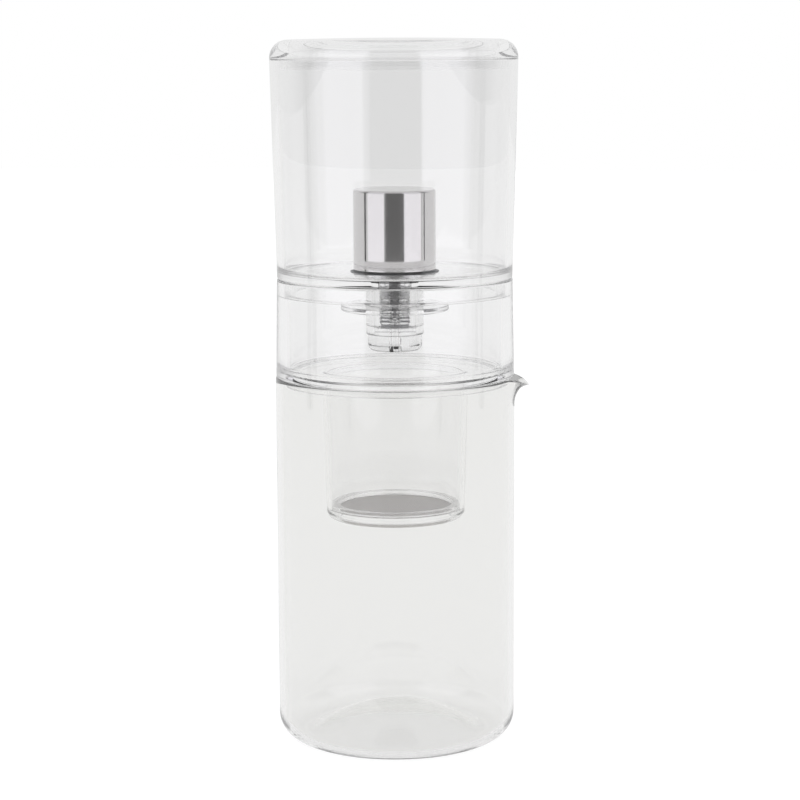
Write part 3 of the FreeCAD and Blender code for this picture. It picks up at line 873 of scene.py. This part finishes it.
def flag(name, azimuth, width):
    """A narrow black screen, which draws a thin dark line in polished and clear pieces."""
    mesh = bpy.data.meshes.new(name)
    mesh.from_pydata(
        [(x * width / 2, 0, z * FLAG_TALL) for x, z in ((-1, 0), (1, 0), (1, 1), (-1, 1))],
        [],
        [(0, 1, 2, 3)],
    )
    mesh.materials.append(black_cloth)
    screen = bpy.data.objects.new(name, mesh)
    bpy.context.scene.collection.objects.link(screen)
    turn = stand_round(screen, azimuth, FLAG_DISTANCE, FLAG_ABOVE_FLOOR)
    screen.rotation_euler = (0, 0, turn)
    print(f"{name}: {width} m wide")


flag("left_flag", azimuth=-88.5, width=0.09)
flag("right_flag", azimuth=90, width=0.06)

# %% [markdown]
# ## The floor
#
# The floor is plain, matt and pale, and keeps the soft shadow. To the camera it also glows, just
# enough to be white. In glass and steel a painted glow stands in for its light, a little dimmer than
# that. Far off below the camera that glow is left out, which paints shade there that only glass and
# steel show, and that is what the middle of the knob mirrors as its dark stripe.

# %% The floor's plane
FLOOR_HALF_WIDTH = 4.0

floor_mesh = bpy.data.meshes.new("studio_floor")
floor_mesh.from_pydata(
    [(x * FLOOR_HALF_WIDTH, y * FLOOR_HALF_WIDTH, 0) for x, y in ((-1, -1), (1, -1), (1, 1), (-1, 1))],
    [],
    [(0, 1, 2, 3)],
)
studio_floor = bpy.data.objects.new("studio_floor", floor_mesh)
bpy.context.scene.collection.objects.link(studio_floor)
pale_floor, tree, output = new_material("pale_floor")
floor_mesh.materials.append(pale_floor)
print("floor:", 2 * FLOOR_HALF_WIDTH, "m across")

# %% The painted shade: no glow in glass and steel, far off below the camera
SECTOR_EDGES = (0.86, 0.93)  # cosines of the angle from the camera's bearing
DARK_FROM, DARK_BEYOND = 1.0, 1.8

place = add(tree, "ShaderNodeTexCoord")
bearing = add(
    tree, "ShaderNodeVectorMath", {"operation": "NORMALIZE"}, {}, {0: place.outputs["Object"]}
)
in_front = add(
    tree, "ShaderNodeVectorMath", {"operation": "DOT_PRODUCT"},
    {1: (math.sin(CAMERA_AZIMUTH), -math.cos(CAMERA_AZIMUTH), 0)}, {0: bearing.outputs["Vector"]},
)
sector = add(
    tree, "ShaderNodeMapRange", {"interpolation_type": "SMOOTHSTEP"},
    {"From Min": SECTOR_EDGES[0], "From Max": SECTOR_EDGES[1]}, {"Value": in_front.outputs["Value"]},
)
distance = add(tree, "ShaderNodeVectorMath", {"operation": "LENGTH"}, {}, {0: place.outputs["Object"]})
far_off = add(
    tree, "ShaderNodeMapRange", {"interpolation_type": "SMOOTHSTEP"},
    {"From Min": DARK_FROM, "From Max": DARK_BEYOND}, {"Value": distance.outputs["Value"]},
)
under_camera = add(
    tree, "ShaderNodeMath", {"operation": "MULTIPLY"}, {},
    {0: sector.outputs["Result"], 1: far_off.outputs["Result"]},
)
half_angles = [round(math.degrees(math.acos(edge))) for edge in SECTOR_EDGES]
print("dark beyond", DARK_BEYOND, "m, within", half_angles, "degrees of the camera")

# %% What the camera, glass and steel see of the floor
FLOOR_TO_CAMERA = 0.88
FLOOR_IN_GLASS = 0.69

seen = add(tree, "ShaderNodeLightPath")
in_clear_pieces = add(
    tree, "ShaderNodeMath", {"operation": "MAXIMUM"}, {},
    {0: seen.outputs["Is Glossy Ray"], 1: seen.outputs["Is Transmission Ray"]},
)
# the painted glow that glass and steel see of the floor, left out far off below the camera as painted
# shade
painted_glow_in_glass = add(
    tree, "ShaderNodeMapRange", {}, {"To Min": FLOOR_IN_GLASS, "To Max": 0.0},
    {"Value": under_camera.outputs["Value"]},
)
through = add(
    tree, "ShaderNodeMath", {"operation": "MULTIPLY"}, {},
    {0: in_clear_pieces.outputs["Value"], 1: painted_glow_in_glass.outputs["Result"]},
)
glow_level = add(
    tree, "ShaderNodeMath", {"operation": "MULTIPLY_ADD"}, {1: FLOOR_TO_CAMERA},
    {0: seen.outputs["Is Camera Ray"], 2: through.outputs["Value"]},
)
glow = add(
    tree, "ShaderNodeEmission", {}, {"Color": linear("FFFFFF")}, {"Strength": glow_level.outputs["Value"]}
)
matt = add(tree, "ShaderNodeBsdfDiffuse", {}, {"Color": linear("8A8A8A")})
both = add(tree, "ShaderNodeAddShader", {}, {}, {0: matt.outputs["BSDF"], 1: glow.outputs["Emission"]})
tree.links.new(both.outputs["Shader"], output.inputs["Surface"])
print("the floor glows", FLOOR_TO_CAMERA, "to the camera and", FLOOR_IN_GLASS, "in glass")

# %% [markdown]
# ## The backdrop and the room
#
# The world is the backdrop and the room in one. To the camera it is plain white. A ray that went
# straight through the glass sees a light room all round. Any other ray sees the room as it is: a
# white backdrop, a white ceiling, and grey elsewhere. The direction of the ray tells which.

# %% Directions in the studio
BACKDROP_EDGES = (0.1, 0.5)  # cosines of the angle from straight behind the maker
SIDE_EDGES = (-0.93, -0.84)
CEILING_EDGES = (0.35, 0.75)  # sines of the height above the horizon

world = bpy.data.worlds.new("studio")
bpy.context.scene.world = world
world.use_nodes = True
tree = world.node_tree
tree.nodes.clear()
output = add(tree, "ShaderNodeOutputWorld")
direction = add(tree, "ShaderNodeTexCoord")
behind = add(
    tree, "ShaderNodeVectorMath", {"operation": "DOT_PRODUCT"},
    {1: (-math.sin(CAMERA_AZIMUTH), math.cos(CAMERA_AZIMUTH), 0)}, {0: direction.outputs["Generated"]},
)
backdrop_share = add(
    tree, "ShaderNodeMapRange", {"interpolation_type": "SMOOTHSTEP"},
    {"From Min": BACKDROP_EDGES[0], "From Max": BACKDROP_EDGES[1]}, {"Value": behind.outputs["Value"]},
)
side_share = add(
    tree, "ShaderNodeMapRange", {"interpolation_type": "SMOOTHSTEP"},
    {"From Min": SIDE_EDGES[0], "From Max": SIDE_EDGES[1]}, {"Value": behind.outputs["Value"]},
)
height = add(tree, "ShaderNodeSeparateXYZ", {}, {}, {0: direction.outputs["Generated"]})
ceiling_share = add(
    tree, "ShaderNodeMapRange", {"interpolation_type": "SMOOTHSTEP"},
    {"From Min": CEILING_EDGES[0], "From Max": CEILING_EDGES[1]}, {"Value": height.outputs["Z"]},
)
print("the backdrop is full", round(math.degrees(math.acos(BACKDROP_EDGES[1]))), "degrees to each side")

# %% How light each part of the studio is
BACKDROP = 0.84
ROOM_SIDES = 0.32
ROOM_BEHIND_CAMERA = 0.25
CEILING = 0.88
ROOM_THROUGH_GLASS = 0.74

room_shine = add(
    tree, "ShaderNodeMix", {"data_type": "FLOAT"}, {2: ROOM_BEHIND_CAMERA, 3: ROOM_SIDES},
    {0: side_share.outputs["Result"]},
)
with_ceiling = add(
    tree, "ShaderNodeMix", {"data_type": "FLOAT"}, {3: CEILING},
    {0: ceiling_share.outputs["Result"], 2: room_shine.outputs[0]},
)
shine = add(
    tree, "ShaderNodeMix", {"data_type": "FLOAT"}, {3: BACKDROP},
    {0: backdrop_share.outputs["Result"], 2: with_ceiling.outputs[0]},
)
through = add(
    tree, "ShaderNodeMix", {"data_type": "FLOAT"}, {2: ROOM_THROUGH_GLASS, 3: BACKDROP},
    {0: backdrop_share.outputs["Result"]},
)
print("mirrored, the room is", ROOM_SIDES, "at its sides; through glass it is", ROOM_THROUGH_GLASS)

# %% Which ray sees which
seen = add(tree, "ShaderNodeLightPath")
unreflected = add(
    tree, "ShaderNodeMath", {"operation": "LESS_THAN"}, {1: 0.5}, {0: seen.outputs["Glossy Depth"]}
)
straight_through = add(
    tree, "ShaderNodeMath", {"operation": "MULTIPLY"}, {},
    {0: seen.outputs["Is Transmission Ray"], 1: unreflected.outputs["Value"]},
)
studio_level = add(
    tree, "ShaderNodeMix", {"data_type": "FLOAT"}, {},
    {0: straight_through.outputs["Value"], 2: shine.outputs[0], 3: through.outputs[0]},
)
level = add(
    tree, "ShaderNodeMath", {"operation": "MAXIMUM"}, {},
    {0: seen.outputs["Is Camera Ray"], 1: studio_level.outputs[0]},
)
white = add(
    tree, "ShaderNodeBackground", {}, {"Color": linear("FFFFFF")}, {"Strength": level.outputs["Value"]}
)
tree.links.new(white.outputs["Background"], output.inputs["Surface"])
print("world nodes:", len(tree.nodes))

# %% [markdown]
# ## Output settings
#
# A ray crosses many walls in a tower of clear pieces, so it needs more bounces than usual. The
# standard view shows colours as they come out of the render, with no film curve.

BOUNCES = 64
SEE_THROUGH_BOUNCES = 32

scene = bpy.context.scene
scene.view_settings.view_transform = "Standard"
scene.cycles.max_bounces = BOUNCES
scene.cycles.transmission_bounces = BOUNCES
scene.cycles.glossy_bounces = BOUNCES
scene.cycles.transparent_max_bounces = SEE_THROUGH_BOUNCES

bpy.context.view_layer.update()
